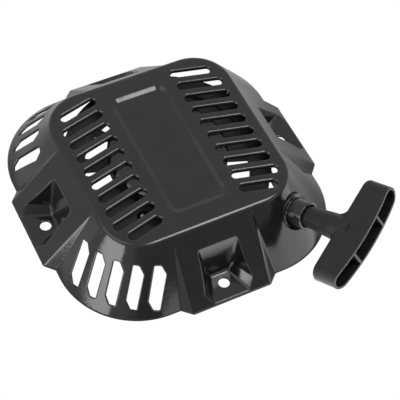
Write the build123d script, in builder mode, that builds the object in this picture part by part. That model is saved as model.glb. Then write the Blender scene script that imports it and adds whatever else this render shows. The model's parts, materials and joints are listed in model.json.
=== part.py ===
from build123d import *

from math import asin, atan2, cos, degrees, hypot, pi, radians, sin, sqrt
import os

# Recoil starter for a single-cylinder engine of about 400 cc.
# Millimetres, +Z out of the engine, origin at the centre of the four mounting holes, on the face that
# bolts to the engine. The rope leaves through the corner between +X and -Y.

os.makedirs("parts", exist_ok=True)

# ---- driving dimensions: pressed-steel housing
SHEET = 1.6
HEIGHT = 46.5
TOP_HALF = 73.5
TOP_CORNER = 29.0
TOP_FOLD = 4.0
SKIRT_HALF = 108.0
SKIRT_CORNER = 62.0
PAD_REACH = 115.0
PAD_HALF = 31.5
PAD_ROOT_HALF = 39.0
PAD_TOP = 44.9
PAD_TOP_BEVEL = 0.4
BOLT_CIRCLE = 200.0
BOLT_HOLE = 8.8

# Bolt pockets: half widths and distance from the centre of the back wall, at three heights.
POCKET_FLOOR = (SHEET, 91.0, 7.3, 17.5)
POCKET_LOW = (8.0, 90.0, 11.5, 26.0)
POCKET_HIGH = (HEIGHT + 4.0, 81.6, 19.5, 27.0)
POCKET_FRONT = 122.0
POCKET_CORNER = 3.0
POCKET_FLOOR_ROUND = 2.5
PAD_ROUND = 2.5

# Label panel pressed into the top.
PANEL_HALF_X = 23.3
PANEL_HALF_Y = 57.7
PANEL_CORNER = 8.0
PANEL_DEPTH = 1.5
PANEL_SLOPE = 4.0

# Cooling slots in the top, in two rows, and in two corners.
VENT_COUNT = 10
VENT_PITCH = 13.2
VENT_FIRST_Y = 66.0
VENT_INNER_X = 31.9
VENT_OUTER_X = 66.0
VENT_END_X = (62.5, 59.5)
VENT_WIDTH = 5.9
VENT_TILT = 13.8
VENT_ROW_DROP = 3.2
VENT_ROLL = 1.9
VENT_LIP = 2.8
VENT_CUT_BEYOND = 1.0
LOUVRE_COUNT = 5
LOUVRE_PITCH = 14.8
LOUVRE_WIDTH = 8.6
LOUVRE_LENGTH = 34.0
LOUVRE_HEIGHT = 21.0
LOUVRE_DROP = 2.4
LOUVRE_CUT = (6.0, 4.0)
LOUVRE_FAN = 208.0
LOUVRE_ROUND = 1.2
LOUVRE_CORNERS = (225, 135)

# ---- driving dimensions: rope line, guide and handle
GUIDE_CENTRE = Vector(67.7, -80.6, 28.0)
PULL_DIR = Vector(0.376, -0.848, 0.372).normalized()
BAR_LEAN = Vector(0.806, 0.498, 0.320)
HANDLE_OUT = 67.7
ROPE_D = 5.0
LEAD_BEND_R = 12.0
COLLAR_D = 26.6
COLLAR_DEPTH = 9.0
GUIDE_BORE = 17.2
GUIDE_D = 21.2
GUIDE_SEAT = -1.5
GUIDE_PROUD = 12.4
GUIDE_FLANGE_D = 29.0

BAR_LENGTH = 85.0
BAR_THICK = 16.8
BAR_BACK = -24.5
BAR_BACK_ROUND = 2.5
BAR_FRONT_DROP = 4.5
BAR_WALL = 1.8
BAR_HOLLOW = 17.0
RIB_AT = 16.0
BOSS_D = 14.6
BOSS_TOP = 11.0
STEM_TOP_D = 19.5
STEM_TIP_D = 14.6
STEM_TIP = -63.0
STEM_TIP_ROUND = 1.5
STEM_WEB_R = 8.0
WEB_START = 7.8
WEB_HALF = 5.6
KNOT_POCKET_D = 11.0
KNOT_POCKET_DEEP = 20.0
KNOT_D = 9.6
KNOT_LONG = 7.5
KNOT_TAIL = 1.0
WASHER = 1.2

# ---- driving dimensions: mechanism, from the top sheet down
CEILING = HEIGHT - PANEL_DEPTH - SHEET
POST_D = 14.0
POST_FLANGE_D = 26.0
POST_FLANGE_Z = 40.8
SPIGOT_D = 12.0
NECK_D = 8.0
NECK_TOP = 10.3
NECK_END = 8.2
M6_TAP = 6.0
SCREW_TOP = 26.0
CASE_R = 45.5
CASE_WALL = 1.2
CASE_BOTTOM = 30.6
SPRING_HIGH = 40.4
SPRING_LOW = 31.2
SPRING_STRIP = 0.7
SPRING_GAP = 3.0
SPRING_START_R = 14.6
SPRING_HALF_TURNS = 18
REEL_R = 79.0
REEL_TOP = 34.0
REEL_BOTTOM = 15.0
WEB_TOP = 30.2
WEB_BOTTOM = 22.0
PLATFORM_R = 35.0
FLANGE = 4.2
GROOVE_R = 66.0
COIL_STEP = 5.1
WINDOW_IN = 43.0
WINDOW_OUT = 63.5
WINDOW_CORNER = 3.0
WINDOWS = ((47.0, 85.0), (104.0, 126.7), (129.4, 155.5), (162.6, 187.0), (255.0, 298.0), (312.5, 340.3))
HUB_BORE_D = 18.0
HUB_R = 12.8
HUB_TOP = 39.8
RUN_FIT = 0.05
REEL_KNOT_D = 9.0
REEL_KNOT_HIGH = 10.0
KNOT_REACH = 55.0
KNOT_ANGLE = 227.0
PAWL_ANGLE = 75.0
PAWL_PIVOT_R = 24.0
PAWL_EYE_R = 6.0
PAWL_TIP_R = 2.8
PAWL_PIN_D = 5.0
PAWL_TOP = 14.6
PAWL_BOTTOM = 10.9
PAWL_SWING = 24.0
PIN_HEAD_Z = 10.2
PIN_HEAD = 0.6
PIN_DEEP = 9.0
PAWL_WIRE = 1.0
PAWL_SPRING_R = 4.2
PAWL_SPRING_TURN = 1.1
PAWL_SPRING_TURNS = 1.7
PAWL_SPRING_POCKET = 3.4
PEG_R = 1.5
PEG_REACH = 13.0
PEG_END = 8.1
PLATE_TOP = 10.0
PLATE_THICK = 1.6
PLATE_R = 34.0
PLATE_HUB_R = 14.0
PLATE_SWING = 20.0
PLATE_PLAY = 0.3
FRICTION_R = 8.6
FRICTION_WIRE = 1.2
RETAINER_R = 11.0
RETAINER_THICK = 1.4
SCREW_HEAD_HIGH = 4.6
SCREW_ACROSS = 10.0

bar_dir = (BAR_LEAN - PULL_DIR * PULL_DIR.dot(BAR_LEAN)).normalized()
wall_slope = (SKIRT_HALF - TOP_HALF) / HEIGHT
sides = [Rot(0, 0, 90 * k) for k in range(4)]


def top_centre(z):
    """Distance of the corner arcs' centres from the middle planes, at a height."""
    low = SKIRT_HALF - SKIRT_CORNER
    high = TOP_HALF - TOP_CORNER
    return low + (high - low) * z / HEIGHT


def bell(inset, fold):
    """The pyramid-shaped bell, all its faces moved in by `inset`."""
    top = HEIGHT - inset
    side = inset * sqrt(1 + wall_slope**2)
    top_half = TOP_HALF + wall_slope * inset - side
    low_half = SKIRT_HALF - side
    with BuildPart() as body:
        with BuildSketch(Plane.XY):
            RectangleRounded(2 * low_half, 2 * low_half, low_half - top_centre(0))
        with BuildSketch(Plane.XY.offset(top)):
            RectangleRounded(2 * top_half, 2 * top_half, top_half - top_centre(top))
        loft(ruled=True)
        fillet(body.edges().group_by(Axis.Z)[-1], fold)
    return body.part


def pad(inset):
    """The raised panel on the -Y side: flush with the wall at the top, standing proud at the skirt."""
    slope = (PAD_REACH - TOP_HALF - wall_slope * (HEIGHT - PAD_TOP)) / PAD_TOP
    front = inset * sqrt(1 + slope**2)
    side = inset * sqrt(1 + wall_slope**2)
    high = PAD_TOP - inset
    wall_high = TOP_HALF + wall_slope * (HEIGHT - high) - side
    front_high = PAD_REACH - slope * high - front
    half = PAD_HALF - inset / 4
    root = PAD_ROOT_HALF - inset / 2
    back = TOP_HALF / 2
    with BuildPart() as body:
        with BuildSketch(Plane.XY):
            with BuildLine():
                Polyline(
                    (-root, -SKIRT_HALF + side),
                    (-half, -PAD_REACH + front),
                    (half, -PAD_REACH + front),
                    (root, -SKIRT_HALF + side),
                    (root, -back),
                    (-root, -back),
                    close=True,
                )
            make_face()
        with BuildSketch(Plane.XY.offset(high)):
            with BuildLine():
                Polyline(
                    (-half - PAD_TOP_BEVEL, PAD_TOP_BEVEL - wall_high),
                    (-half, -front_high),
                    (half, -front_high),
                    (half + PAD_TOP_BEVEL, PAD_TOP_BEVEL - wall_high),
                    (half + PAD_TOP_BEVEL, -back),
                    (-half - PAD_TOP_BEVEL, -back),
                    close=True,
                )
            make_face()
        loft(ruled=True)
    return body.part


def runs_up_a_pad(edge):
    """Whether an edge runs up the side of a pad's front face."""
    middle = edge @ 0.5
    off_middle = min(abs(middle.X), abs(middle.Y))
    return abs(off_middle - PAD_HALF) < 0.3 and abs((edge @ 1 - edge @ 0).Z) > 30


def rounds_a_floor(edge):
    """Whether an edge lies between a pocket's floor and its walls."""
    middle = edge @ 0.5
    on_floor = abs((edge @ 0).Z - SHEET) < 0.05 and abs((edge @ 1).Z - SHEET) < 0.05
    return on_floor and max(abs(middle.X), abs(middle.Y)) < BOLT_CIRCLE / 2 + 10


def pocket(grow):
    """The space of one bolt pocket on the -Y side, made larger by `grow` all round."""
    with BuildPart() as body:
        for z, back, half_back, half_front in (POCKET_FLOOR, POCKET_LOW, POCKET_HIGH):
            level = z - grow if z == SHEET else z
            with BuildSketch(Plane.XY.offset(level)):
                with BuildLine():
                    Polyline(
                        (-half_back - grow, -back + grow),
                        (half_back + grow, -back + grow),
                        (half_front + grow, -POCKET_FRONT),
                        (-half_front - grow, -POCKET_FRONT),
                        close=True,
                    )
                make_face()
        loft(ruled=True)
        uprights = body.edges().filter_by(Axis.X, reverse=True).filter_by(Axis.Y, reverse=True)
        back_corners = uprights.filter_by(lambda e: e.center().Y > -100 and abs(e.tangent_at(0.5).Z) > 0.5)
        fillet(back_corners, POCKET_CORNER + grow)
    return body.part


outer_bell = bell(0, TOP_FOLD)
inner_bell = bell(SHEET, TOP_FOLD - SHEET)
outer_pad = pad(0)
inner_pad = pad(SHEET)
pocket_space = pocket(0)
pocket_metal = pocket(SHEET)

# The hollow under the sheet: the inset bell and pads, less the metal of the pockets and the pressed panel.
with BuildPart() as hollow:
    add(inner_bell)
    for turn in sides:
        add(turn * inner_pad)
    for turn in sides:
        add(turn * pocket_metal, mode=Mode.SUBTRACT)
    with BuildSketch(Plane.XY.offset(HEIGHT - SHEET)):
        RectangleRounded(2 * PANEL_HALF_X, 2 * PANEL_HALF_Y, PANEL_CORNER)
    extrude(amount=-PANEL_DEPTH, mode=Mode.SUBTRACT)


def vent_places(side):
    """Length and middle of each top slot of one row."""
    outer_x = [VENT_OUTER_X] * VENT_COUNT
    outer_x[0], outer_x[-1] = VENT_END_X
    tilt = Vector(1, 0).rotate(Axis.Z, 90 - side * (90 + VENT_TILT))
    places = []
    for k in range(VENT_COUNT):
        length = (outer_x[k] - VENT_INNER_X) / cos(radians(VENT_TILT))
        inner_end = Vector(side * VENT_INNER_X, VENT_FIRST_Y - VENT_ROW_DROP - k * VENT_PITCH)
        middle = inner_end + tilt * (length / 2)
        places.append((length, (middle.X, middle.Y)))
    return places


# The rope hole's collar, drawn inwards from the corner along the rope's line.
collar_plane = Plane(GUIDE_CENTRE, z_dir=PULL_DIR)
with BuildPart() as collar:
    with BuildSketch(collar_plane.offset(-COLLAR_DEPTH)):
        Circle(COLLAR_D / 2 + SHEET)
    extrude(amount=COLLAR_DEPTH + 12)
    add(outer_bell, mode=Mode.INTERSECT)

with BuildPart() as housing:
    add(outer_bell)
    for turn in sides:
        add(turn * outer_pad)
    for turn in sides:
        add(turn * pocket_space, mode=Mode.SUBTRACT)
    fillet(housing.edges().filter_by(runs_up_a_pad), PAD_ROUND)
    fillet(housing.edges().filter_by(rounds_a_floor), POCKET_FLOOR_ROUND)
    add(hollow.part, mode=Mode.SUBTRACT)
    add(collar.part)
    with BuildSketch(collar_plane.offset(-COLLAR_DEPTH - 1)):
        Circle(COLLAR_D / 2)
    extrude(amount=COLLAR_DEPTH + 25, mode=Mode.SUBTRACT)
    with BuildSketch(Plane.XY.offset(HEIGHT - PANEL_DEPTH)):
        RectangleRounded(
            2 * (PANEL_HALF_X - PANEL_SLOPE), 2 * (PANEL_HALF_Y - PANEL_SLOPE), PANEL_CORNER - PANEL_SLOPE
        )
    with BuildSketch(Plane.XY.offset(HEIGHT)):
        RectangleRounded(2 * PANEL_HALF_X, 2 * PANEL_HALF_Y, PANEL_CORNER)
    loft(ruled=True, mode=Mode.SUBTRACT)
    with BuildSketch(Plane.XY.offset(-1)):
        with PolarLocations(BOLT_CIRCLE / 2, 4):
            Circle(BOLT_HOLE / 2)
    extrude(amount=SHEET + 2, mode=Mode.SUBTRACT)
    # top slots with a drawn lip and rolled upper edges; the first and last of a row are shorter
    lip_shape = (VENT_WIDTH + 2 * SHEET, HEIGHT - VENT_LIP)
    hole_shape = (VENT_WIDTH, HEIGHT - VENT_LIP - VENT_CUT_BEYOND)
    for slot_width, low in (lip_shape, hole_shape):
        with BuildSketch(Plane.XY.offset(low)):
            for side in (1, -1):
                for length, middle in vent_places(side):
                    with Locations(Location((*middle, 0), (0, 0, 90 - side * (90 + VENT_TILT)))):
                        SlotOverall(length + slot_width - VENT_WIDTH, slot_width)
        if slot_width > VENT_WIDTH:
            extrude(amount=VENT_LIP - SHEET / 2)
        else:
            extrude(amount=VENT_LIP + 2 * VENT_CUT_BEYOND, mode=Mode.SUBTRACT)
    vent_rims = housing.edges().group_by(Axis.Z)[-1].filter_by(lambda e: abs(e.center().X) > VENT_INNER_X - 1)
    fillet(vent_rims.filter_by(lambda e: abs(e.center().X) < VENT_OUTER_X + 1), VENT_ROLL)
    # corner slots, two of their corners cut off, fanned out and set lower towards the ends of the row
    for corner in LOUVRE_CORNERS:
        diagonal = Vector(cos(radians(corner)), sin(radians(corner)))
        across = Vector(-diagonal.Y, diagonal.X)
        for k in range(LOUVRE_COUNT):
            step = k - (LOUVRE_COUNT - 1) / 2
            z = LOUVRE_HEIGHT - LOUVRE_DROP * (2 * step / (LOUVRE_COUNT - 1)) ** 2
            u = step * LOUVRE_PITCH
            corner_r = SKIRT_CORNER + (TOP_CORNER - SKIRT_CORNER) * z / HEIGHT
            v = top_centre(z) * sqrt(2) + sqrt(corner_r**2 - u**2)
            fan = across * u * (1 / LOUVRE_FAN) + diagonal
            down = (fan * wall_slope - Vector(0, 0, 1)).normalized()
            normal = (diagonal + Vector(0, 0, wall_slope)).normalized()
            place = diagonal * v + across * u + Vector(0, 0, z)
            half_long = LOUVRE_LENGTH / 2
            half_wide = LOUVRE_WIDTH / 2
            cut_long, cut_wide = LOUVRE_CUT
            with BuildSketch(Plane(place, x_dir=down, z_dir=normal).offset(14)) as louvre:
                with BuildLine():
                    Polyline(
                        (-half_long, -half_wide),
                        (-half_long, half_wide - cut_wide),
                        (-half_long + cut_long, half_wide),
                        (half_long, half_wide),
                        (half_long, cut_wide - half_wide),
                        (half_long - cut_long, -half_wide),
                        close=True,
                    )
                make_face()
                fillet(louvre.vertices(), LOUVRE_ROUND)
            extrude(amount=-30, mode=Mode.SUBTRACT)
housing.part.label = "housing"
export_step(housing.part, "parts/housing.step")
print("housing", housing.part.volume, housing.part.is_valid, len(housing.part.solids()))


# ---- rope line: off the reel's groove, round the lip of the guide, into the handle's stem
groove_z = (REEL_BOTTOM + REEL_TOP) / 2
rope_r = GROOVE_R + ROPE_D / 2 + 0.1
bend_point = GUIDE_CENTRE - PULL_DIR * 7
bend_reach = hypot(bend_point.X, bend_point.Y)
lead_angle = atan2(bend_point.Y, bend_point.X) - asin(rope_r / bend_reach)
leave_angle = lead_angle + pi / 2
leave_point = Vector(rope_r * cos(leave_angle), rope_r * sin(leave_angle), groove_z)
lead_start = leave_point + (bend_point - leave_point).normalized() * 28
lead_end = GUIDE_CENTRE + PULL_DIR * 2
grip_point = GUIDE_CENTRE + PULL_DIR * HANDLE_OUT

with BuildPart() as rope_lead:
    with BuildLine() as lead_path:
        FilletPolyline(lead_start, bend_point, lead_end, radius=LEAD_BEND_R)
    with BuildSketch(Plane(lead_start, z_dir=bend_point - lead_start)):
        Circle(ROPE_D / 2)
    sweep()
rope_lead.part.label = "rope_lead"
export_step(rope_lead.part, "parts/rope_lead.step")
print("rope_lead length", lead_path.wires()[0].length, "bend radius", LEAD_BEND_R)

with BuildPart() as rope_guide:
    with BuildSketch(Plane(GUIDE_CENTRE, x_dir=bar_dir, z_dir=bar_dir.cross(PULL_DIR))):
        with BuildLine():
            mouth = GUIDE_BORE / 2
            tube = GUIDE_D / 2
            rim = COLLAR_D / 2 - 0.15
            flange_r = GUIDE_FLANGE_D / 2
            lip = (tube - mouth) / 2
            Line((mouth, -COLLAR_DEPTH + 2), (mouth, GUIDE_PROUD - lip))
            ThreePointArc((mouth, GUIDE_PROUD - lip), (mouth + lip, GUIDE_PROUD), (tube, GUIDE_PROUD - lip))
            Polyline(
                (tube, GUIDE_PROUD - lip),
                (tube, GUIDE_SEAT),
                (rim, GUIDE_SEAT),
                (rim, -COLLAR_DEPTH - 0.05),
                (flange_r, -COLLAR_DEPTH - 0.05),
                (flange_r, -COLLAR_DEPTH - 2),
                (mouth + 2.5, -COLLAR_DEPTH - 2),
            )
            RadiusArc((mouth + 2.5, -COLLAR_DEPTH - 2), (mouth, -COLLAR_DEPTH + 2), 5)
        make_face()
    revolve(axis=Axis(GUIDE_CENTRE, PULL_DIR))
rope_guide.part.label = "rope_guide"
export_step(rope_guide.part, "parts/rope_guide.step")

# ---- handle: a moulded T grip, hollow from the front
grip_plane = Plane(grip_point, x_dir=bar_dir, z_dir=PULL_DIR)
grip_side = Plane(grip_point, x_dir=bar_dir, z_dir=bar_dir.cross(PULL_DIR))
half_bar = BAR_LENGTH / 2

with BuildPart() as handle_grip:
    with BuildSketch(grip_side):
        with BuildLine():
            Polyline(
                (half_bar, -BAR_FRONT_DROP),
                (half_bar, BAR_BACK),
                (-half_bar, BAR_BACK),
                (-half_bar, -BAR_FRONT_DROP),
            )
            ThreePointArc((-half_bar, -BAR_FRONT_DROP), (0, 0), (half_bar, -BAR_FRONT_DROP))
        make_face()
    extrude(amount=BAR_THICK, both=True)
    with BuildSketch(grip_plane.offset(BAR_BACK - 1)):
        SlotOverall(BAR_LENGTH, BAR_THICK)
    extrude(amount=2 - BAR_BACK, mode=Mode.INTERSECT)
    fillet(handle_grip.edges().group_by(Axis(grip_point, PULL_DIR))[0], BAR_BACK_ROUND)
    # stem, with a curved web on each side where it meets the bar
    with BuildSketch(grip_side):
        with BuildLine():
            stem_r = STEM_TOP_D / 2
            tip_r = STEM_TIP_D / 2
            Polyline(
                (0, STEM_TIP),
                (tip_r - STEM_TIP_ROUND, STEM_TIP),
                (tip_r, STEM_TIP + STEM_TIP_ROUND),
                (stem_r, BAR_BACK - STEM_WEB_R),
                (stem_r, BAR_BACK + BAR_THICK / 2),
                (0, BAR_BACK + BAR_THICK / 2),
                close=True,
            )
        make_face()
    revolve(axis=Axis(grip_point, PULL_DIR))
    with BuildSketch(grip_side):
        with BuildLine():
            web_x = WEB_START + STEM_WEB_R
            web_y = BAR_BACK - STEM_WEB_R
            CenterArc((web_x, web_y), STEM_WEB_R, 90, 90)
            Line((web_x - STEM_WEB_R, web_y), (-web_x + STEM_WEB_R, web_y))
            CenterArc((-web_x, web_y), STEM_WEB_R, 0, 90)
            Polyline((-web_x, BAR_BACK), (-web_x, BAR_BACK + 3), (web_x, BAR_BACK + 3), (web_x, BAR_BACK))
        make_face()
    extrude(amount=WEB_HALF, both=True)
    # hollow front, with two ribs and, deep inside, the low boss that holds the knot
    with BuildSketch(grip_plane.offset(1)):
        SlotOverall(BAR_LENGTH - 2 * BAR_WALL, BAR_THICK - 2 * BAR_WALL)
        with Locations((RIB_AT, 0), (-RIB_AT, 0)):
            Rectangle(BAR_WALL, BAR_THICK, mode=Mode.SUBTRACT)
        Circle(BOSS_D / 2, mode=Mode.SUBTRACT)
    extrude(amount=-BAR_HOLLOW - 1, mode=Mode.SUBTRACT)
    with BuildSketch(grip_plane.offset(1)):
        Circle(BOSS_D / 2)
        SlotOverall(BAR_LENGTH - 2 * BAR_WALL, BAR_THICK - 2 * BAR_WALL, mode=Mode.INTERSECT)
    extrude(amount=-BOSS_TOP - 1, mode=Mode.SUBTRACT)
    with BuildSketch(grip_plane.offset(1)):
        Circle(KNOT_POCKET_D / 2)
    extrude(amount=-KNOT_POCKET_DEEP - 1, mode=Mode.SUBTRACT)
    with BuildSketch(grip_plane.offset(STEM_TIP - 1)):
        Circle(ROPE_D / 2 + 0.5)
    extrude(amount=-STEM_TIP, mode=Mode.SUBTRACT)
handle_grip.part.label = "handle_grip"
export_step(handle_grip.part, "parts/handle_grip.step")
print("handle_grip", handle_grip.part.volume, handle_grip.part.is_valid, len(handle_grip.part.solids()))

with BuildPart() as knot_washer:
    with BuildSketch(grip_plane.offset(-KNOT_POCKET_DEEP + 0.02)):
        Circle(KNOT_POCKET_D / 2 - 0.3)
        Circle(ROPE_D / 2 + 0.3, mode=Mode.SUBTRACT)
    extrude(amount=WASHER)
knot_washer.part.label = "knot_washer"
export_step(knot_washer.part, "parts/knot_washer.step")

with BuildPart() as rope_tail:
    with BuildSketch(grip_plane.offset(STEM_TIP - 2)):
        Circle(ROPE_D / 2)
    extrude(amount=-STEM_TIP + 2 - KNOT_POCKET_DEEP + WASHER + 0.2)
rope_tail.part.label = "rope_tail"
export_step(rope_tail.part, "parts/rope_tail.step")

with BuildPart() as handle_knot:
    with BuildSketch(grip_plane.offset(-KNOT_POCKET_DEEP + WASHER + 0.2)):
        Circle(KNOT_D / 2 - 1)
    extrude(amount=KNOT_LONG)
    fillet(handle_knot.edges(), 1.5)
    with BuildSketch(grip_plane.offset(-KNOT_POCKET_DEEP + WASHER + 0.2 + KNOT_LONG)):
        Circle(ROPE_D / 2)
    extrude(amount=KNOT_TAIL)
handle_knot.part.label = "handle_knot"
export_step(handle_knot.part, "parts/handle_knot.step")

# ---- mechanism, down the middle from the top sheet
with BuildPart() as center_post:
    with BuildSketch(Plane.XZ):
        with BuildLine():
            Polyline(
                (M6_TAP / 2, NECK_END),
                (NECK_D / 2, NECK_END),
                (NECK_D / 2, NECK_TOP),
                (POST_D / 2, NECK_TOP),
                (POST_D / 2, POST_FLANGE_Z),
                (POST_FLANGE_D / 2, POST_FLANGE_Z),
                (POST_FLANGE_D / 2, CEILING - CASE_WALL),
                (SPIGOT_D / 2, CEILING - CASE_WALL),
                (SPIGOT_D / 2, CEILING),
                (0, CEILING),
                (0, SCREW_TOP),
                (M6_TAP / 2, SCREW_TOP),
                close=True,
            )
        make_face()
    revolve(axis=Axis.Z)
center_post.part.label = "center_post"
export_step(center_post.part, "parts/center_post.step")

with BuildPart() as spring_case:
    with BuildSketch(Plane.XY.offset(CASE_BOTTOM)):
        Circle(CASE_R)
    extrude(amount=CEILING - CASE_BOTTOM)
    fillet(spring_case.edges().group_by(Axis.Z)[-1], 3)
    with BuildSketch(Plane.XY.offset(CASE_BOTTOM)):
        Circle(CASE_R - CASE_WALL)
    extrude(amount=CEILING - CASE_BOTTOM - CASE_WALL, mode=Mode.SUBTRACT)
    with BuildSketch(Plane.XY.offset(CEILING)):
        Circle(SPIGOT_D / 2 + 0.1)
    extrude(amount=-2 * CASE_WALL, mode=Mode.SUBTRACT)
    # lug that holds the outer end of the spring
    with BuildSketch(Plane.XY.offset(CASE_BOTTOM + 1)):
        with Locations((-CASE_R + CASE_WALL + 0.5, -6)):
            Rectangle(3, 2)
    extrude(amount=CEILING - CASE_BOTTOM - 2)
spring_case.part.label = "spring_case"
export_step(spring_case.part, "parts/spring_case.step")


def spiral(offset_r):
    """Centre, radius and starting angle of each half circle of a spiral, moved out by `offset_r`."""
    arcs = []
    for k in range(SPRING_HALF_TURNS):
        centre = SPRING_GAP / 4 if k % 2 else -SPRING_GAP / 4
        radius = SPRING_START_R + k * SPRING_GAP / 2 + offset_r
        arcs.append((centre, radius, 180 if k % 2 else 0))
    return arcs


with BuildPart() as recoil_spring:
    with BuildSketch(Plane.XY.offset(SPRING_LOW)):
        with BuildLine():
            for centre, radius, start in spiral(-SPRING_STRIP / 2):
                CenterArc((centre, 0), radius, start, 180)
            for centre, radius, start in spiral(SPRING_STRIP / 2):
                CenterArc((centre, 0), radius, start, 180)
            first = SPRING_START_R - SPRING_GAP / 4
            last = SPRING_START_R + (SPRING_HALF_TURNS - 1) * SPRING_GAP / 2 + SPRING_GAP / 4
            for end in (first, last):
                Line((end - SPRING_STRIP / 2, 0), (end + SPRING_STRIP / 2, 0))
        make_face()
    extrude(amount=SPRING_HIGH - SPRING_LOW)
recoil_spring.part.label = "recoil_spring"
export_step(recoil_spring.part, "parts/recoil_spring.step")
print("recoil_spring", recoil_spring.part.volume, recoil_spring.part.is_valid)

with BuildPart() as top_washer:
    with BuildSketch(Plane.XY.offset(HUB_TOP + 0.05)):
        Circle(HUB_R - 0.5)
        Circle(POST_D / 2 + 0.1, mode=Mode.SUBTRACT)
    extrude(amount=POST_FLANGE_Z - HUB_TOP - 0.1)
top_washer.part.label = "top_washer"
export_step(top_washer.part, "parts/top_washer.step")

with BuildPart() as reel:
    with BuildSketch(Plane.XZ):
        with BuildLine():
            Polyline(
                (HUB_BORE_D / 2, REEL_BOTTOM),
                (PLATFORM_R, REEL_BOTTOM),
                (PLATFORM_R, WEB_BOTTOM),
                (WINDOW_OUT, WEB_BOTTOM),
                (WINDOW_OUT, REEL_BOTTOM),
                (REEL_R, REEL_BOTTOM),
                (REEL_R, REEL_BOTTOM + FLANGE - 1),
                (GROOVE_R + 2, REEL_BOTTOM + FLANGE),
                (GROOVE_R, REEL_BOTTOM + FLANGE),
                (GROOVE_R, REEL_TOP - FLANGE),
                (GROOVE_R + 2, REEL_TOP - FLANGE),
                (REEL_R, REEL_TOP - FLANGE + 1),
                (REEL_R, REEL_TOP),
                (WINDOW_OUT, REEL_TOP),
                (WINDOW_OUT, WEB_TOP),
                (HUB_R, WEB_TOP),
                (HUB_R, HUB_TOP),
                (HUB_BORE_D / 2, HUB_TOP),
                close=True,
            )
        make_face()
    revolve(axis=Axis.Z)
    # windows between the spokes
    for start, end in WINDOWS:
        with BuildSketch(Plane.XY.offset(WEB_BOTTOM - 1)) as window:
            with BuildLine():
                low_in = Vector(WINDOW_IN, 0).rotate(Axis.Z, start)
                low_out = Vector(WINDOW_OUT, 0).rotate(Axis.Z, start)
                high_in = Vector(WINDOW_IN, 0).rotate(Axis.Z, end)
                high_out = Vector(WINDOW_OUT, 0).rotate(Axis.Z, end)
                Line(low_in, low_out)
                CenterArc((0, 0), WINDOW_OUT, start, end - start)
                Line(high_out, high_in)
                CenterArc((0, 0), WINDOW_IN, start, end - start)
            make_face()
            fillet(window.vertices(), WINDOW_CORNER)
        extrude(amount=WEB_TOP - WEB_BOTTOM + 2, mode=Mode.SUBTRACT)
    # boss, pocket and hole for the rope's knot
    knot_at = Vector(KNOT_REACH, 0).rotate(Axis.Z, KNOT_ANGLE)
    with BuildSketch(Plane.XY.offset(REEL_BOTTOM + 2)):
        with Locations(knot_at):
            Circle(REEL_KNOT_D / 2 + 3)
    extrude(amount=WEB_BOTTOM - REEL_BOTTOM - 1.9)
    with BuildSketch(Plane.XY.offset(WEB_TOP)):
        with Locations(knot_at):
            Circle(REEL_KNOT_D / 2 + 0.8)
    extrude(amount=-(WEB_TOP - REEL_BOTTOM - 3.5), mode=Mode.SUBTRACT)
    with BuildSketch(Plane(knot_at + Vector(0, 0, groove_z), z_dir=knot_at.normalized())):
        Circle(ROPE_D / 2 + 0.4)
    extrude(amount=GROOVE_R - KNOT_REACH + 1, mode=Mode.SUBTRACT)
    # pin holes and spring pockets of the two pawls
    with BuildSketch(Plane.XY.offset(REEL_BOTTOM)):
        with PolarLocations(PAWL_PIVOT_R, 2, start_angle=PAWL_ANGLE):
            Circle(PAWL_SPRING_R + 1.3)
    extrude(amount=PAWL_SPRING_POCKET, mode=Mode.SUBTRACT)
    with BuildSketch(Plane.XY.offset(REEL_BOTTOM)):
        with PolarLocations(PAWL_PIVOT_R, 2, start_angle=PAWL_ANGLE):
            Circle(PAWL_PIN_D / 2)
    extrude(amount=PIN_DEEP, mode=Mode.SUBTRACT)
reel.part.label = "reel"
export_step(reel.part, "parts/reel.step")
print("reel", reel.part.volume, reel.part.is_valid, len(reel.part.solids()))

with BuildPart() as reel_bush:
    with BuildSketch(Plane.XY.offset(REEL_BOTTOM + 0.2)):
        Circle(HUB_BORE_D / 2)
        Circle(POST_D / 2 + RUN_FIT, mode=Mode.SUBTRACT)
    extrude(amount=HUB_TOP - REEL_BOTTOM - 0.4)
reel_bush.part.label = "reel_bush"
export_step(reel_bush.part, "parts/reel_bush.step")

# the wound rope: two turns side by side in the groove
with BuildPart() as rope_coil:
    with BuildSketch(Plane.XZ):
        for k in (-1, 1):
            with Locations((rope_r, groove_z + k * COIL_STEP / 2)):
                Circle(ROPE_D / 2)
        with Locations((rope_r, groove_z)):
            Rectangle(ROPE_D / 2, COIL_STEP)
    revolve(axis=Axis.Z)
rope_coil.part.label = "rope_coil"
export_step(rope_coil.part, "parts/rope_coil.step")

with BuildPart() as reel_knot:
    with BuildSketch(Plane(knot_at + Vector(0, 0, groove_z), z_dir=knot_at.normalized())):
        Circle(ROPE_D / 2)
    extrude(amount=GROOVE_R - KNOT_REACH - 0.1)
    with BuildSketch(Plane.XY.offset(groove_z - REEL_KNOT_D / 2)):
        with Locations(knot_at):
            Circle(REEL_KNOT_D / 2)
    extrude(amount=REEL_KNOT_HIGH)
reel_knot.part.label = "reel_knot"
export_step(reel_knot.part, "parts/reel_knot.step")

# ---- pawls: each swings outwards about its pin, pushed by the cam slot of the friction plate
pawl_pivot = Vector(PAWL_PIVOT_R, 0)
pawl_arm = Vector(-2, -22)
pawl_tip = pawl_pivot + pawl_arm
pawl_peg = pawl_pivot + pawl_arm.normalized() * PEG_REACH


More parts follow.
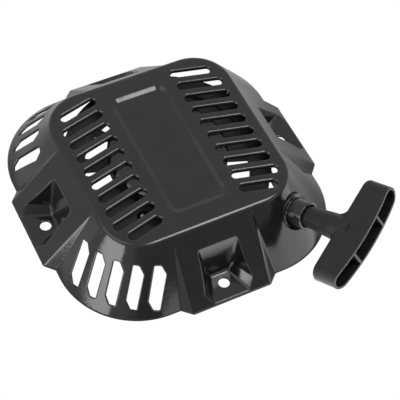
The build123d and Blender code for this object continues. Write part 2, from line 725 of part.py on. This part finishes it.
def make_pawl():
    """A pawl with its pivot on +X, as it rests; its peg points down into the plate."""
    with BuildPart() as body:
        with BuildSketch(Plane.XY.offset(PAWL_BOTTOM)):
            with Locations(pawl_pivot):
                Circle(PAWL_EYE_R)
            with Locations(pawl_tip):
                Circle(PAWL_TIP_R)
            make_hull()
        extrude(amount=PAWL_TOP - PAWL_BOTTOM)
        with BuildSketch(Plane.XY.offset(PAWL_BOTTOM)):
            with Locations(Location(tuple(pawl_tip), (0, 0, degrees(atan2(pawl_arm.Y, pawl_arm.X))))):
                with Locations((0, PAWL_TIP_R / 2)):
                    Rectangle(2 * PAWL_TIP_R, PAWL_TIP_R)
        extrude(amount=PAWL_TOP - PAWL_BOTTOM)
        with BuildSketch(Plane.XY.offset(PEG_END)):
            with Locations(pawl_peg):
                Circle(PEG_R)
        extrude(amount=PAWL_BOTTOM - PEG_END)
        with BuildSketch(Plane.XY.offset(PAWL_BOTTOM)):
            with Locations(pawl_pivot):
                Circle(PAWL_PIN_D / 2 + RUN_FIT)
        extrude(amount=PAWL_TOP - PAWL_BOTTOM, mode=Mode.SUBTRACT)
    return body.part


for letter, angle in (("a", PAWL_ANGLE), ("b", PAWL_ANGLE + 180)):
    pawl = Rot(0, 0, angle) * make_pawl()
    pawl.label = f"pawl_{letter}"
    export_step(pawl, f"parts/pawl_{letter}.step")

with BuildPart() as pawl_pins:
    with BuildSketch(Plane.XY.offset(PIN_HEAD_Z)):
        with PolarLocations(PAWL_PIVOT_R, 2, start_angle=PAWL_ANGLE):
            Circle(PAWL_PIN_D / 2 + 1.6)
    extrude(amount=PIN_HEAD)
    with BuildSketch(Plane.XY.offset(PIN_HEAD_Z)):
        with PolarLocations(PAWL_PIVOT_R, 2, start_angle=PAWL_ANGLE):
            Circle(PAWL_PIN_D / 2)
    extrude(amount=REEL_BOTTOM + PIN_DEEP - 0.3 - PIN_HEAD_Z)
pawl_pins.part.label = "pawl_pins"
export_step(pawl_pins.part, "parts/pawl_pins.step")

for letter, angle in (("a", PAWL_ANGLE), ("b", PAWL_ANGLE + 180)):
    with BuildPart() as pawl_spring:
        coil_centre = pawl_pivot + Vector(0, 0, REEL_BOTTOM + 0.2 + PAWL_WIRE / 2)
        with BuildLine():
            Helix(PAWL_SPRING_TURN, PAWL_SPRING_TURN * PAWL_SPRING_TURNS, PAWL_SPRING_R, center=coil_centre)
        with BuildSketch(Plane(coil_centre + Vector(PAWL_SPRING_R, 0), z_dir=(0, 1, 0))):
            Circle(PAWL_WIRE / 2)
        sweep(is_frenet=True)
    spring = Rot(0, 0, angle) * pawl_spring.part
    spring.label = f"pawl_spring_{letter}"
    export_step(spring, f"parts/pawl_spring_{letter}.step")

with BuildPart() as pawl_guide:
    peg_angle = degrees(atan2(pawl_peg.Y, pawl_peg.X))
    with BuildSketch(Plane.XY.offset(PLATE_TOP - PLATE_THICK)):
        Circle(PLATE_HUB_R)
        for angle in (PAWL_ANGLE, PAWL_ANGLE + 180):
            with BuildLine():
                ear_low = Vector(PLATE_R, 0).rotate(Axis.Z, angle + peg_angle - PLATE_SWING - 6)
                ear_high = Vector(PLATE_R, 0).rotate(Axis.Z, angle + peg_angle + 10)
                Line((0, 0), ear_low)
                CenterArc((0, 0), PLATE_R, angle + peg_angle - PLATE_SWING - 6, PLATE_SWING + 16)
                Line(ear_high, (0, 0))
            make_face()
        Circle(NECK_D / 2 + RUN_FIT, mode=Mode.SUBTRACT)
    extrude(amount=PLATE_THICK)
    # each cam slot is the peg's path as the pawl swings out and the plate lags behind the reel
    steps = 6
    for angle in (PAWL_ANGLE, PAWL_ANGLE + 180):
        path = []
        for k in range(steps + 1):
            swung = (pawl_peg - pawl_pivot).rotate(Axis.Z, PAWL_SWING * k / steps)
            path.append((pawl_pivot + swung).rotate(Axis.Z, angle - PLATE_SWING * k / steps))
        for here, there in zip(path, path[1:]):
            with BuildSketch(Plane.XY.offset(PLATE_TOP - PLATE_THICK - 1)):
                with Locations(here, there):
                    Circle(PEG_R + PLATE_PLAY)
                make_hull()
            extrude(amount=PLATE_THICK + 2, mode=Mode.SUBTRACT)
pawl_guide.part.label = "pawl_guide"
export_step(pawl_guide.part, "parts/pawl_guide.step")

with BuildPart() as friction_spring:
    coil_low = PLATE_TOP + FRICTION_WIRE / 2 + 0.1
    coil_high = REEL_BOTTOM - FRICTION_WIRE / 2 - 0.1
    with BuildLine(Plane.XY.offset(coil_low)):
        Helix(pitch=(coil_high - coil_low) / 2.5, height=coil_high - coil_low, radius=FRICTION_R)
    with BuildSketch(Plane((FRICTION_R, 0, coil_low), z_dir=(0, 1, 0))):
        Circle(FRICTION_WIRE / 2)
    sweep(is_frenet=True)
friction_spring.part.label = "friction_spring"
export_step(friction_spring.part, "parts/friction_spring.step")

with BuildPart() as retainer_washer:
    with BuildSketch(Plane.XY.offset(NECK_END - RETAINER_THICK)):
        Circle(RETAINER_R)
        Circle(M6_TAP / 2 + 0.2, mode=Mode.SUBTRACT)
    extrude(amount=RETAINER_THICK)
retainer_washer.part.label = "retainer_washer"
export_step(retainer_washer.part, "parts/retainer_washer.step")

with BuildPart() as center_screw:
    head_top = NECK_END - RETAINER_THICK
    with BuildSketch(Plane.XY.offset(head_top - SCREW_HEAD_HIGH)):
        RegularPolygon(SCREW_ACROSS / 2, 6, major_radius=False)
    extrude(amount=SCREW_HEAD_HIGH)
    with BuildSketch(Plane.XY.offset(head_top - 1)):
        Circle(SCREW_ACROSS / 2 + 1.5)
    extrude(amount=1)
    with BuildSketch(Plane.XY.offset(head_top)):
        Circle(M6_TAP / 2)
    extrude(amount=SCREW_TOP - 2 - head_top)
center_screw.part.label = "center_screw"
export_step(center_screw.part, "parts/center_screw.step")
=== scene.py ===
"""Looks of the recoil starter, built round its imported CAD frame. Metres, +Z away from the engine."""

import json
import math

import bmesh
import bpy
from mathutils import Matrix, Vector


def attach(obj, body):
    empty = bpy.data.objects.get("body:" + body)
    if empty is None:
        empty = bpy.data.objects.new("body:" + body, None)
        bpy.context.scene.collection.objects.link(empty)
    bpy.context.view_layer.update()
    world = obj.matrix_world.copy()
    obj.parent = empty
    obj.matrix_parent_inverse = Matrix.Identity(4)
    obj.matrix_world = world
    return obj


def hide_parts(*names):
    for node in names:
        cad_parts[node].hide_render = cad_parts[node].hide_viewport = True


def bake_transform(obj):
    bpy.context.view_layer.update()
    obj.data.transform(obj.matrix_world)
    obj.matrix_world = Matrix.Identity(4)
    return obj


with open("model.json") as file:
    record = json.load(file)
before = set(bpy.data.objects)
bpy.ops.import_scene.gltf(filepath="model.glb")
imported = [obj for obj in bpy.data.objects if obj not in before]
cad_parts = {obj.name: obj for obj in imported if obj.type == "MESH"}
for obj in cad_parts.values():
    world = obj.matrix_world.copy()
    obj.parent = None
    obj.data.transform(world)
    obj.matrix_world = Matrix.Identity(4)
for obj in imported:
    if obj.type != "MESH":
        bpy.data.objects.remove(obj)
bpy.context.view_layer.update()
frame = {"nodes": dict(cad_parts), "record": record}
nodes = frame["nodes"]

MM = 0.001
WHITE = (1.0, 1.0, 1.0, 1.0)


# ---- camera: its place, the ways that its right side and its view point, lens and film width in mm
CAMERA_AT = Vector((-0.28093, -0.53600, 0.83807))
CAMERA_RIGHT = Vector((0.8968, -0.4396, 0.0510))
CAMERA_VIEW = Vector((0.290486, 0.497951, -0.817107))
LENS = 120.2
FILM_WIDTH = 36.0
FARTHEST_SEEN = 20.0


def make_camera():
    """The camera, from where it stands and the directions of its view and of its right side."""
    back = -CAMERA_VIEW.normalized()
    right = (CAMERA_RIGHT - back * CAMERA_RIGHT.dot(back)).normalized()
    up = back.cross(right)
    camera = bpy.data.objects.new("camera", bpy.data.cameras.new("camera"))
    camera.matrix_world = Matrix.Translation(CAMERA_AT) @ Matrix((right, up, back)).transposed().to_4x4()
    camera.data.sensor_width = FILM_WIDTH
    camera.data.lens = LENS
    camera.data.clip_end = FARTHEST_SEEN
    bpy.context.scene.collection.objects.link(camera)
    bpy.context.scene.camera = camera


def direction(azimuth, elevation):
    """A unit vector; azimuth is measured from +X towards +Y, in degrees."""
    a, e = math.radians(azimuth), math.radians(elevation)
    return Vector((math.cos(a) * math.cos(e), math.sin(a) * math.cos(e), math.sin(e)))


# ---- node helpers, for owners of a node tree: materials and the world
RAMP_ENDS = (0.3, 0.7)
BEVEL_SAMPLES = 8


def node_adder(tree):
    """A function that adds a node and sets its properties, and with in_ before a name its input sockets."""

    def add(kind, **values):
        node = tree.nodes.new(kind)
        for key, value in values.items():
            if key.startswith("in_"):
                node.inputs[key[3:].replace("_", " ")].default_value = value
            else:
                setattr(node, key, value)
        return node

    return add


def new_material(name):
    """A plain node material: the material, its Principled shader and a function that adds nodes."""
    material = bpy.data.materials.new(name)
    material.use_nodes = True
    return material, material.node_tree.nodes["Principled BSDF"], node_adder(material.node_tree)


def link(owner, source, target):
    """Joins an output socket to an input socket."""
    owner.node_tree.links.new(source, target)


def noise(material, add, scale, detail, roughness, stretch=None):
    """Noise in the object's own coordinates; scale is in cycles per metre."""
    place = add("ShaderNodeTexCoord").outputs["Object"]
    if stretch:
        mapping = add("ShaderNodeMapping", in_Scale=stretch)
        link(material, place, mapping.inputs["Vector"])
        place = mapping.outputs["Vector"]
    texture = add("ShaderNodeTexNoise", in_Scale=scale, in_Detail=detail, in_Roughness=roughness)
    link(material, place, texture.inputs["Vector"])
    return texture.outputs["Fac"]


def ramp(material, add, source, low, high):
    """A ramp between two greys or colours."""
    node = add("ShaderNodeValToRGB")
    colours = [c if isinstance(c, tuple) else (c, c, c) for c in (low, high)]
    for element, at, colour in zip(node.color_ramp.elements, RAMP_ENDS, colours):
        element.position = at
        element.color = (*colour, 1.0)
    link(material, source, node.inputs["Fac"])
    return node.outputs["Color"]


def smooth_range(owner, add, source, edges, values):
    """Goes smoothly from one value to the other while the source goes from one edge to the other."""
    node = add("ShaderNodeMapRange", interpolation_type="SMOOTHSTEP")
    for socket, value in zip(("From Min", "From Max", "To Min", "To Max"), (*edges, *values)):
        node.inputs[socket].default_value = value
    link(owner, source, node.inputs["Value"])
    return node.outputs["Result"]


def mixed(owner, add, share, first, second):
    """The first shader where the share is 0, the second where it is 1."""
    node = add("ShaderNodeMixShader")
    link(owner, share, node.inputs["Fac"])
    link(owner, first, node.inputs[1])
    link(owner, second, node.inputs[2])
    return node.outputs["Shader"]


def seen_or_lit(owner, add, seen, lit):
    """One shader for the camera and another for every other ray."""
    return mixed(owner, add, add("ShaderNodeLightPath").outputs["Is Camera Ray"], lit, seen)


def bump(material, add, shader, heights, edge=0.0):
    """Bumps of several (height, metres) pairs in a row, over edges rounded by `edge`."""
    normal = None
    if edge:
        rounded = add("ShaderNodeBevel", samples=BEVEL_SAMPLES, in_Radius=edge)
        normal = rounded.outputs["Normal"]
    for height, metres in heights:
        node = add("ShaderNodeBump", in_Strength=1.0, in_Distance=metres)
        link(material, height, node.inputs["Height"])
        if normal:
            link(material, normal, node.inputs["Normal"])
        normal = node.outputs["Normal"]
    link(material, normal, shader.inputs["Normal"])


# ---- materials: tones and roughness are ends of a range; a metal's lines are finer along one axis
ENAMEL_IOR = 1.5
PLASTIC_IOR = 1.48
TURNED = (1.0, 1.0, 12.0)
GROUND = (1.0, 6.0, 1.0)
EVEN = (1.0, 1.0, 1.0)


def enamel():
    """Glossy black stove enamel: faint orange peel, a little uneven in gloss."""
    material, shader, add = new_material("enamel")
    tone = noise(material, add, 45.0, detail=6.0, roughness=0.6)
    link(material, ramp(material, add, tone, 0.003, 0.007), shader.inputs["Base Color"])
    gloss = noise(material, add, 140.0, detail=5.0, roughness=0.65)
    link(material, ramp(material, add, gloss, 0.09, 0.15), shader.inputs["Roughness"])
    peel = noise(material, add, 420.0, detail=2.0, roughness=0.4)
    waves = noise(material, add, 28.0, detail=2.0, roughness=0.5)
    bump(material, add, shader, [(peel, 0.00003), (waves, 0.0003)], edge=0.0016)
    shader.inputs["IOR"].default_value = ENAMEL_IOR
    return material


def moulded(name, tones, roughness, grain, gloss=0.5):
    """Moulded plastic: fine grain, flow mottling and slightly uneven gloss."""
    material, shader, add = new_material(name)
    mottling = noise(material, add, 160.0, detail=7.0, roughness=0.7)
    link(material, ramp(material, add, mottling, *tones), shader.inputs["Base Color"])
    polish = noise(material, add, 320.0, detail=5.0, roughness=0.6)
    link(material, ramp(material, add, polish, *roughness), shader.inputs["Roughness"])
    fine = noise(material, add, 2400.0, detail=3.0, roughness=0.6)
    sink = noise(material, add, 60.0, detail=2.0, roughness=0.5)
    bump(material, add, shader, [(fine, grain), (sink, 0.0002)], edge=0.0005)
    shader.inputs["IOR"].default_value = PLASTIC_IOR
    shader.inputs["Specular IOR Level"].default_value = gloss
    return material


def metal(name, tones, roughness, stretch=TURNED):
    """Bare or plated metal: brushed or turned along one way, with faint stains."""
    material, shader, add = new_material(name)
    stains = noise(material, add, 90.0, detail=6.0, roughness=0.65)
    link(material, ramp(material, add, stains, *tones), shader.inputs["Base Color"])
    lines = noise(material, add, 900.0, detail=4.0, roughness=0.6, stretch=stretch)
    link(material, ramp(material, add, lines, *roughness), shader.inputs["Roughness"])
    bump(material, add, shader, [(lines, 0.00002)], edge=0.0003)
    shader.inputs["Metallic"].default_value = 1.0
    return material


def rope_fibre():
    """Braided nylon: off-white yarns, a little soiled."""
    material, shader, add = new_material("rope_fibre")
    soil = noise(material, add, 150.0, detail=5.0, roughness=0.6)
    colour = ramp(material, add, soil, (0.42, 0.41, 0.38), (0.62, 0.61, 0.58))
    link(material, colour, shader.inputs["Base Color"])
    yarn = noise(material, add, 3000.0, detail=3.0, roughness=0.6)
    link(material, ramp(material, add, yarn, 0.55, 0.8), shader.inputs["Roughness"])
    bump(material, add, shader, [(yarn, 0.00015)])
    shader.inputs["Sheen Weight"].default_value = 0.25
    return material


def paint_nodes(fibre):
    """Gives every CAD node its material."""
    black = enamel()
    grip = moulded("grip_plastic", (0.004, 0.009), (0.38, 0.54), grain=0.00006, gloss=0.30)
    nylon = moulded("reel_nylon", (0.012, 0.022), (0.36, 0.55), grain=0.00004)
    steel = metal("turned_steel", (0.42, 0.58), (0.22, 0.36))
    zinc = metal("zinc_plate", ((0.50, 0.51, 0.53), (0.64, 0.65, 0.66)), (0.28, 0.42), stretch=EVEN)
    spring = metal("blue_spring_steel", ((0.10, 0.11, 0.14), (0.20, 0.21, 0.24)), (0.26, 0.4))
    hard = metal("hardened_steel", (0.22, 0.34), (0.34, 0.5), stretch=GROUND)
    bronze = metal("sintered_bronze", ((0.40, 0.27, 0.12), (0.56, 0.40, 0.20)), (0.4, 0.55), stretch=EVEN)
    chosen = {
        "housing": black,
        "rope_guide": black,
        "handle_grip": grip,
        "reel": nylon,
        "reel_bush": bronze,
        "center_post": steel,
        "top_washer": steel,
        "pawl_pins": steel,
        "knot_washer": steel,
        "spring_case": black,
        "pawl_guide": zinc,
        "retainer_washer": zinc,
        "center_screw": zinc,
        "recoil_spring": spring,
        "friction_spring": spring,
        "pawl_spring_a": spring,
        "pawl_spring_b": spring,
        "pawl_a": hard,
        "pawl_b": hard,
    }
    for name, node in nodes.items():
        node.data.materials.clear()
        node.data.materials.append(chosen.get(name, fibre))


# ---- rope: a braid round each stretch of the route, whose points are the CAD's
ROPE_R = 2.5 * MM
WOUND_R = 68.6 * MM
WOUND_LOW = 21.95 * MM
WOUND_HIGH = 27.05 * MM
WOUND_TURNS = 2
WOUND_SPACING = 15
CROSSING = 24
GUIDE_CENTRE = Vector((67.7, -80.6, 28.0)) * MM
PULL = Vector((0.376, -0.848, 0.372)).normalized()
BEND_POINT = GUIDE_CENTRE - PULL * 7 * MM
LEAD_STRAIGHT = 0.45

# distances along the pull, from the guide's centre
LEAD_END = 2.0 * MM
RUN_FOLLOWS_HANDLE = 45.0 * MM
RUN_END = 50.5 * MM
HANDLE_KNOT_AT = 53.0 * MM

# how often a span is halved to find a ring's place at rest
HALVINGS = 44

# the knots and ends, thinner than the rope so that they fit the handle and the reel
KNOT_STEPS = 36
HANDLE_KNOT_SPREAD = 0.87 * MM
HANDLE_KNOT_RISE = 1.7 * MM
HANDLE_KNOT_R = 1.5 * MM
HANDLE_TAIL_LONG = 4.3 * MM
HANDLE_TAIL_R = 2.1 * MM
REEL_KNOT_AT = Vector((-37.51, -40.22, 25.3)) * MM
REEL_KNOT_SPREAD = 1.0 * MM
REEL_KNOT_RISE = 2.9 * MM
REEL_KNOT_R = 1.45 * MM
RIM_STUB_LONG = 10.8 * MM
RIM_STUB_R = 2.4 * MM

# the braid: its rings, one crossing's length along the rope, the strands that run each way round it,
# how deep the gaps between them are, and how rounded a strand is across and along
BRAID_STEP = 0.5 * MM
BRAID_SIDES = 36
BRAID_CELL = 3.0 * MM
STRANDS_EACH_WAY = 6
BRAID_DEPTH = 0.17
POWER_ACROSS = 0.7
POWER_ALONG = 0.35


def resampled(line):
    """Points about BRAID_STEP apart along a line."""
    lengths = [0.0]
    for here, there in zip(line, line[1:]):
        lengths.append(lengths[-1] + (there - here).length)
    count = max(2, round(lengths[-1] / BRAID_STEP))
    points = []
    k = 0
    for n in range(count + 1):
        wanted = lengths[-1] * n / count
        while k < len(line) - 2 and lengths[k + 1] < wanted:
            k += 1
        share = (wanted - lengths[k]) / max(lengths[k + 1] - lengths[k], 1e-9)
        points.append(line[k].lerp(line[k + 1], share))
    return points


def route(points):
    """The smooth NURBS line that has `points` as its control points."""
    curve = bpy.data.curves.new("route", "CURVE")
    curve.dimensions = "3D"
    spline = curve.splines.new("NURBS")
    spline.points.add(len(points) - 1)
    for place, point in zip(spline.points, points):
        place.co = (*point, 1.0)
    spline.order_u = 3
    spline.use_endpoint_u = True
    spline.resolution_u = 16
    carrier = bpy.data.objects.new("route", curve)
    mesh = bpy.data.meshes.new_from_object(carrier)
    line = [v.co.copy() for v in mesh.vertices]
    bpy.data.objects.remove(carrier)
    bpy.data.curves.remove(curve)
    bpy.data.meshes.remove(mesh)
    return resampled(line)


def eased(share):
    """Goes smoothly from 0 to 1 while the share does, and stays there beyond them."""
    share = min(1.0, max(0.0, share))
    return share * share * (3 - 2 * share)


def braid_lift(turn, cells):
    """Height, from 0 to 1, of the strands at a part of a turn round the rope and some cells along it."""
    a = turn * STRANDS_EACH_WAY + cells
    b = turn * STRANDS_EACH_WAY - cells
    across, along = (a % 1, b % 1) if (math.floor(a) + math.floor(b)) % 2 == 0 else (b % 1, a % 1)
    return math.sin(math.pi * across) ** POWER_ACROSS * math.sin(math.pi * along) ** POWER_ALONG


def braided(name, line, fibre, radius=ROPE_R, along=None, tangent=None):
    """A braided rope round a line; `along` gives each ring's distance along the braid."""
    rings = bmesh.new()
    last = None
    side = None
    distance = 0.0
    for k, centre in enumerate(line):
        ahead = tangent or (line[min(k + 1, len(line) - 1)] - line[max(k - 1, 0)]).normalized()
        side = side or ahead.orthogonal()
        side = (side - ahead * side.dot(ahead)).normalized()
        other = ahead.cross(side)
        if k:
            distance += (centre - line[k - 1]).length
        cells = (along[k] if along else distance) / BRAID_CELL * (ROPE_R / radius)
        ring = []
        for j in range(BRAID_SIDES):
            angle = 2 * math.pi * j / BRAID_SIDES
            reach = radius * (1 - BRAID_DEPTH * (1 - braid_lift(j / BRAID_SIDES, cells)))
            outwards = side * math.cos(angle) + other * math.sin(angle)
            ring.append(rings.verts.new(centre + outwards * reach))
        if last:
            for j in range(BRAID_SIDES):
                following = (j + 1) % BRAID_SIDES
                rings.faces.new((last[j], last[following], ring[following], ring[j]))
        else:
            rings.faces.new(list(reversed(ring)))
        last = ring
    rings.faces.new(last)
    mesh = bpy.data.meshes.new(name)
    rings.to_mesh(mesh)
    rings.free()
    for face in mesh.polygons:
        face.use_smooth = len(face.vertices) == 4
    mesh.materials.append(fibre)
    piece = bpy.data.objects.new(name, mesh)
    bpy.context.scene.collection.objects.link(piece)
    return piece


def wound_points():
    """Points of two turns side by side, WOUND_SPACING degrees apart, and where the rope leaves the reel.

    The rope crosses from the lower turn to the higher one within CROSSING degrees.
    """
    # the lead is tangent to the wound circle
    reach = math.hypot(BEND_POINT.x, BEND_POINT.y)
    lead_angle = math.atan2(BEND_POINT.y, BEND_POINT.x) - math.asin(WOUND_R / reach)
    leave = math.degrees(lead_angle) + 90
    # a NURBS line of order 3 runs a little inside its control points
    outwards = WOUND_R / (0.75 + 0.25 * math.cos(math.radians(WOUND_SPACING)))
    first = leave + WOUND_TURNS * 360 - CROSSING
    count = round((first - leave) / WOUND_SPACING)
    points = []
    for k in range(count + 1):
        angle = first + (leave - first) * k / count
        share = eased((leave + 360 - angle) / CROSSING)
        place = direction(angle, 0) * outwards
        points.append(place + Vector((0, 0, WOUND_LOW + (WOUND_HIGH - WOUND_LOW) * share)))
    return points, direction(leave, 0) * WOUND_R + Vector((0, 0, WOUND_HIGH))


def knot_points(centre, axis, spread, rise):
    """A closed overhand knot round an axis."""
    side = axis.orthogonal().normalized()
    other = axis.cross(side)
    points = []
    for k in range(KNOT_STEPS + 1):
        t = 2 * math.pi * k / KNOT_STEPS
        x = math.sin(t) + 2 * math.sin(2 * t)
        y = math.cos(t) - 2 * math.cos(2 * t)
        points.append(centre + (side * x + other * y) * spread - axis * math.sin(3 * t) * rise)
    return points


def pulled_run(travel):
    """Rings of the stretch between guide and handle: where they lie at rest, and along the rope pulled out.

    They are evenly spaced on the rope pulled out, and each one's place at rest is found by halving.
    """
    places = []
    along = []
    span = RUN_FOLLOWS_HANDLE - LEAD_END
    whole = RUN_END - LEAD_END + travel
    count = round(whole / BRAID_STEP)
    for n in range(count + 1):
        wanted = LEAD_END + whole * n / count
        low, high = LEAD_END, RUN_END
        for _ in range(HALVINGS):
            middle = (low + high) / 2
            reached = middle + travel * eased((middle - LEAD_END) / span)
            low, high = (middle, high) if reached < wanted else (low, middle)
        places.append(GUIDE_CENTRE + PULL * low)
        along.append(wanted)
    return places, along


def make_rope(fibre):
    """The rope: wound on the reel, led to the guide, through the handle, with a knot at each end."""
    turns, leave_point = wound_points()
    coil = braided("rope_wound", route(turns), fibre)
    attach(coil, "reel")
    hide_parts("rope_coil")

    start = leave_point + (BEND_POINT - leave_point) * LEAD_STRAIGHT
    lead_points = [leave_point, start, BEND_POINT, GUIDE_CENTRE + PULL * LEAD_END]
    lead = braided("rope_to_guide", route(lead_points), fibre)
    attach(lead, "case")
    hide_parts("rope_lead")

    pull_joint = next(j for j in frame["record"]["behaviour"]["joints"] if j["name"] == "handle_pull")
    places, along = pulled_run(pull_joint["range_m"][1])
    run = braided("rope_to_handle", places, fibre, along=along, tangent=PULL)
    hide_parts("rope_tail")
    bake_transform(run)

    knot_centre = GUIDE_CENTRE + PULL * HANDLE_KNOT_AT
    knot_line = route(knot_points(knot_centre, PULL, HANDLE_KNOT_SPREAD, HANDLE_KNOT_RISE))
    knot = braided("knot_in_handle", knot_line, fibre, radius=HANDLE_KNOT_R)
    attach(knot, "handle")
    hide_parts("handle_knot")
    tail_line = resampled([knot_centre, knot_centre + PULL * HANDLE_TAIL_LONG])
    tail = braided("tail_in_handle", tail_line, fibre, radius=HANDLE_TAIL_R)
    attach(tail, "handle")

    up = Vector((0, 0, 1))
    knot_line = route(knot_points(REEL_KNOT_AT, up, REEL_KNOT_SPREAD, REEL_KNOT_RISE))
    knot = braided("knot_in_reel", knot_line, fibre, radius=REEL_KNOT_R)
    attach(knot, "reel")
    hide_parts("reel_knot")
    outward = Vector((REEL_KNOT_AT.x, REEL_KNOT_AT.y, 0)).normalized()
    stub_line = resampled([REEL_KNOT_AT, REEL_KNOT_AT + outward * RIM_STUB_LONG])
    stub = braided("rope_through_rim", stub_line, fibre, radius=RIM_STUB_R)
    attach(stub, "reel")


# ---- floor: its painted shade, darker near the object than farther out, and the painted pool of light in front of it, where it glows
FLOOR_HALF = 3.0
FLOOR_DROP = 0.2 * MM
FLOOR_ROUGHNESS = 0.9
SHADE_TONES = (0.34, 0.86)
SHADE_DISTANCES = (0.125, 0.205)
POOL_LIGHT = 2.2
POOL_Y = (-0.126, -0.112)
POOL_DISTANCES = (0.24, 0.38)


def floor_light(material, add, shader):
    """The matt floor that lights the object: darker close round it, a painted shadow, and glowing in front,
    a painted pool of light.
    """
    away = add("ShaderNodeVectorMath", operation="LENGTH")
    link(material, add("ShaderNodeTexCoord").outputs["Object"], away.inputs[0])
    # painted shade: the floor's colour is darker close round the object, as in its shadow
    shade = smooth_range(material, add, away.outputs["Value"], SHADE_DISTANCES, SHADE_TONES)
    link(material, shade, shader.inputs["Base Color"])
    # painted pool of light: the floor glows in front of the object
    split = add("ShaderNodeSeparateXYZ")
    link(material, add("ShaderNodeTexCoord").outputs["Object"], split.inputs["Vector"])
    in_front = smooth_range(material, add, split.outputs["Y"], POOL_Y, (POOL_LIGHT, 0.0))
    near = smooth_range(material, add, away.outputs["Value"], POOL_DISTANCES, (1.0, 0.0))
    pool = add("ShaderNodeMath", operation="MULTIPLY")
    link(material, in_front, pool.inputs[0])
    link(material, near, pool.inputs[1])
    link(material, pool.outputs["Value"], shader.inputs["Emission Strength"])
    shader.inputs["Emission Color"].default_value = WHITE
    shader.inputs["Roughness"].default_value = FLOOR_ROUGHNESS
    return shader.outputs["BSDF"]


def make_floor():
    """A large matt floor, which shows as even white from above and not at all from below."""
    mesh = bpy.data.meshes.new("floor")
    corners = [(x * FLOOR_HALF, y * FLOOR_HALF, 0) for x, y in ((-1, -1), (1, -1), (1, 1), (-1, 1))]
    mesh.from_pydata(corners, [], [(0, 1, 2, 3)])
    floor = bpy.data.objects.new("floor", mesh)
    floor.location.z = -FLOOR_DROP
    bpy.context.scene.collection.objects.link(floor)
    material, shader, add = new_material("pale_floor")
    matt = floor_light(material, add, shader)
    white = add("ShaderNodeEmission", in_Strength=1.0).outputs["Emission"]
    clear = add("ShaderNodeBsdfTransparent").outputs["BSDF"]
    seen = mixed(material, add, add("ShaderNodeNewGeometry").outputs["Backfacing"], white, clear)
    # the soft box under the floor shines through it
    lit = mixed(material, add, add("ShaderNodeLightPath").outputs["Is Shadow Ray"], matt, clear)
    surface = material.node_tree.nodes["Material Output"].inputs["Surface"]
    link(material, seen_or_lit(material, add, seen, lit), surface)
    mesh.materials.append(material)


# ---- surroundings and their broad patches: where these are, how far they spread, how much light they add
SURROUND = 0.79
PATCHES = (
    ((-92, 16), 36, -0.50),
    ((165, 60), 30, 1.20),
)
PATCH_CORE = 0.35


def make_world():
    """Even white surroundings, with one broad patch that is darker and one that is brighter."""
    world = bpy.data.worlds.new("studio")
    world.use_nodes = True
    world.node_tree.nodes.clear()
    add = node_adder(world.node_tree)
    place = add("ShaderNodeTexCoord")
    total = None
    for (azimuth, elevation), spread, light in PATCHES:
        facing = add("ShaderNodeVectorMath", operation="DOT_PRODUCT")
        facing.inputs[1].default_value = direction(azimuth, elevation)
        link(world, place.outputs["Generated"], facing.inputs[0])
        edges = [math.cos(math.radians(angle)) for angle in (spread, spread * PATCH_CORE)]
        patch = smooth_range(world, add, facing.outputs["Value"], edges, (0.0, light))
        added = add("ShaderNodeMath")
        added.inputs[0].default_value = SURROUND
        if total:
            link(world, total, added.inputs[0])
        link(world, patch, added.inputs[1])
        total = added.outputs["Value"]
    lit = add("ShaderNodeBackground", in_Color=WHITE)
    link(world, total, lit.inputs["Strength"])
    plain = add("ShaderNodeBackground", in_Color=WHITE)
    out = add("ShaderNodeOutputWorld")
    shown = seen_or_lit(world, add, plain.outputs["Background"], lit.outputs["Background"])
    link(world, shown, out.inputs["Surface"])
    bpy.context.scene.world = world


# ---- lights: where the soft boxes stand, their width and height, and their radiance
KEY_SIDE = direction(-167, 17)
KEY_SHIFT = Vector((-0.07, -0.07, 0.03))
KEY_SIZE = (0.84, 0.36)
KEY_RADIANCE = 5.5
OVERHEAD_SIDE = direction(-35, 69)
OVERHEAD_AWAY = 1.3
OVERHEAD_SIZE = (0.62, 0.42)
OVERHEAD_RADIANCE = 9.0
UNDER_AT = Vector((0, 0, -0.9))
UNDER_SIZE = (1.5, 1.5)
UNDER_RADIANCE = 5.0
LOW_PANEL_FROM = Vector((-0.03, -0.42, 0.034))
LOW_PANEL_TO = Vector((0.60, -0.05, 0.034))
LOW_PANEL_HIGH = 0.068
LOW_PANEL_RADIANCE = 1.7


def soft_box(name, centre, facing, size, radiance):
    """A rectangular soft light of an even radiance, upright where it can be."""
    width, height = size
    data = bpy.data.lights.new(name, "AREA")
    data.shape = "RECTANGLE"
    data.size = width
    data.size_y = height
    data.energy = radiance * math.pi * width * height
    light = bpy.data.objects.new(name, data)
    light.location = centre
    light.rotation_euler = (-facing).to_track_quat("Z", "Y").to_euler()
    bpy.context.scene.collection.objects.link(light)


def light_studio():
    """Four boxes: the key on the left, one overhead, one under the floor, one low on the handle's side."""
    soft_box("key", KEY_SIDE + KEY_SHIFT, -KEY_SIDE, KEY_SIZE, KEY_RADIANCE)
    overhead_at = OVERHEAD_SIDE * OVERHEAD_AWAY
    soft_box("overhead", overhead_at, -OVERHEAD_SIDE, OVERHEAD_SIZE, OVERHEAD_RADIANCE)
    soft_box("under_floor", UNDER_AT, Vector((0, 0, 1)), UNDER_SIZE, UNDER_RADIANCE)
    run = LOW_PANEL_TO - LOW_PANEL_FROM
    middle = (LOW_PANEL_FROM + LOW_PANEL_TO) / 2
    inwards = Vector((-run.y, run.x, 0))
    soft_box("low_panel", middle, inwards, (run.length, LOW_PANEL_HIGH), LOW_PANEL_RADIANCE)


make_camera()
bpy.context.scene.view_settings.view_transform = "Standard"
rope_material = rope_fibre()
paint_nodes(rope_material)
make_rope(rope_material)
make_floor()
make_world()
light_studio()
